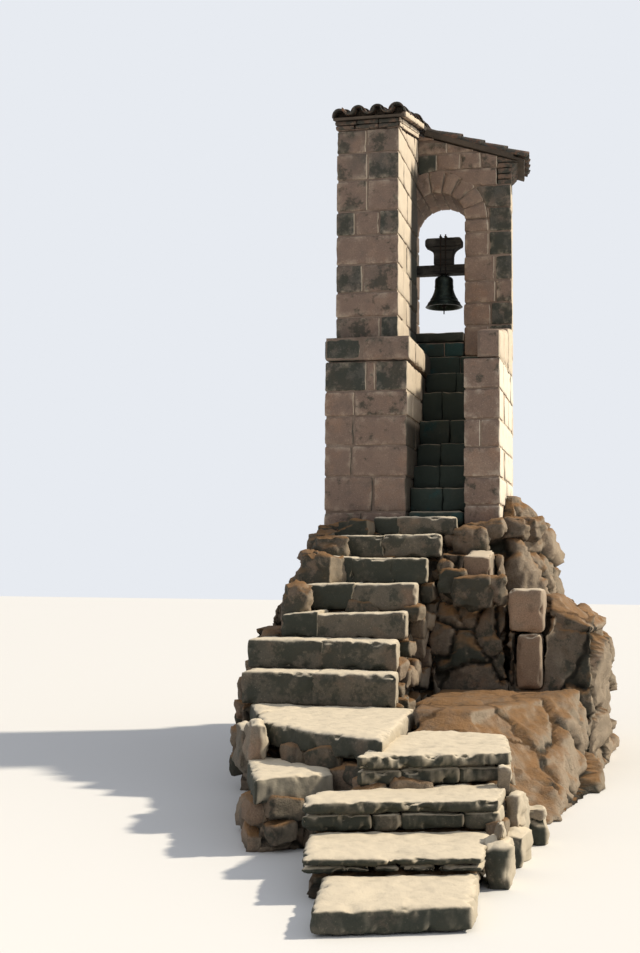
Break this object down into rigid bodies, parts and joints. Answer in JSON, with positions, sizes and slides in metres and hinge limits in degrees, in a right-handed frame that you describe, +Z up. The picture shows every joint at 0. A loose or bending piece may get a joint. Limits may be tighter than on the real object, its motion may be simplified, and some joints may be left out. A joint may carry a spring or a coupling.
{
  "type": "free-standing stone bell tower with outdoor stair",
  "caption": "Narrow granite bell tower on a rocky podium, with an arched bell opening, a swinging bell on a timber yoke, tiled roofs and a rough stone stair.",
  "frame": {"origin": "on the ground plane, straight below the middle of the tower's front face", "axes": "+X to the right along the tower's front, +Y away from the foot of the stair, +Z up"},
  "size_m": [3.308, 8.89, 6.6318],
  "materials": {
    "dressed_granite": "dressed granite ashlar, weathered and stained, with pale lime joints",
    "worn_granite_slab": "rough granite slabs, tops worn pale and smooth",
    "rubble_masonry": "rubble stones laid with earth and lime",
    "outcrop_rock": "rough granite outcrop with lichen and brown earth stains",
    "clay_tile": "hand-made unglazed clay tiles, dark with lichen",
    "red_clay_course": "unglazed red clay course, weathered",
    "weathered_oak": "dark weathered oak with open grain",
    "wrought_iron": "forged iron with dull rust",
    "bell_bronze": "cast bronze with a dark green-brown patina"
  },
  "bodies": {
    "root": {"left_block": "dressed_granite", "right_cheek": "dressed_granite", "bell_wall_base": "dressed_granite", "sill_block": "dressed_granite", "left_jamb": "dressed_granite", "right_jamb": "dressed_granite", "gable_wall": "dressed_granite", "upper_pier": "dressed_granite", "arch_stones_odd": "dressed_granite", "arch_stones_even": "dressed_granite", "dressed_block_low": "dressed_granite", "dressed_block_high": "dressed_granite", "flat_block": "dressed_granite", "lower_step_1": "worn_granite_slab", "lower_step_2": "worn_granite_slab", "lower_step_3": "worn_granite_slab", "lower_step_4": "worn_granite_slab", "winder_step": "worn_granite_slab", "landing_slab": "worn_granite_slab", "upper_step_1": "worn_granite_slab", "upper_step_2": "worn_granite_slab", "upper_step_3": "worn_granite_slab", "upper_step_4": "worn_granite_slab", "upper_step_5": "worn_granite_slab", "upper_step_6": "worn_granite_slab", "upper_step_7": "worn_granite_slab", "threshold_slab": "worn_granite_slab", "inner_step_1": "worn_granite_slab", "inner_step_2": "worn_granite_slab", "inner_step_3": "worn_granite_slab", "inner_step_4": "worn_granite_slab", "inner_step_5": "worn_granite_slab", "inner_step_6": "worn_granite_slab", "left_block_coping": "worn_granite_slab", "right_cheek_cap": "worn_granite_slab", "sill_slab": "worn_granite_slab", "tower_podium": "outcrop_rock", "side_boulder": "outcrop_rock", "left_shoulder": "outcrop_rock", "right_ledge": "outcrop_rock", "front_crag": "outcrop_rock", "lower_bank": "outcrop_rock", "lower_stair_core": "rubble_masonry", "upper_stair_core": "rubble_masonry", "pier_roof": "clay_tile", "wall_roof": "clay_tile", "pier_eaves_course": "red_clay_course", "eave_corbel": "red_clay_course", "bearing_left": "wrought_iron", "bearing_right": "wrought_iron"},
    "bell_on_yoke": {"headstock": "weathered_oak", "gudgeons": "wrought_iron", "yoke_straps": "wrought_iron", "bell": "bell_bronze"},
    "clapper_body": {"clapper": "wrought_iron"}
  },
  "joints": [
    {"name": "bell_swing", "type": "hinge", "parent": "root", "child": "bell_on_yoke", "pos_m": [0.0835, 1.645, 4.9], "axis": [1, 0, 0], "range_deg": [-80, 80]},
    {"name": "clapper_swing", "type": "hinge", "parent": "bell_on_yoke", "child": "clapper_body", "pos_m": [0.0835, 1.645, 4.7735], "axis": [1, 0, 0], "range_deg": [-22, 22]}
  ]
}
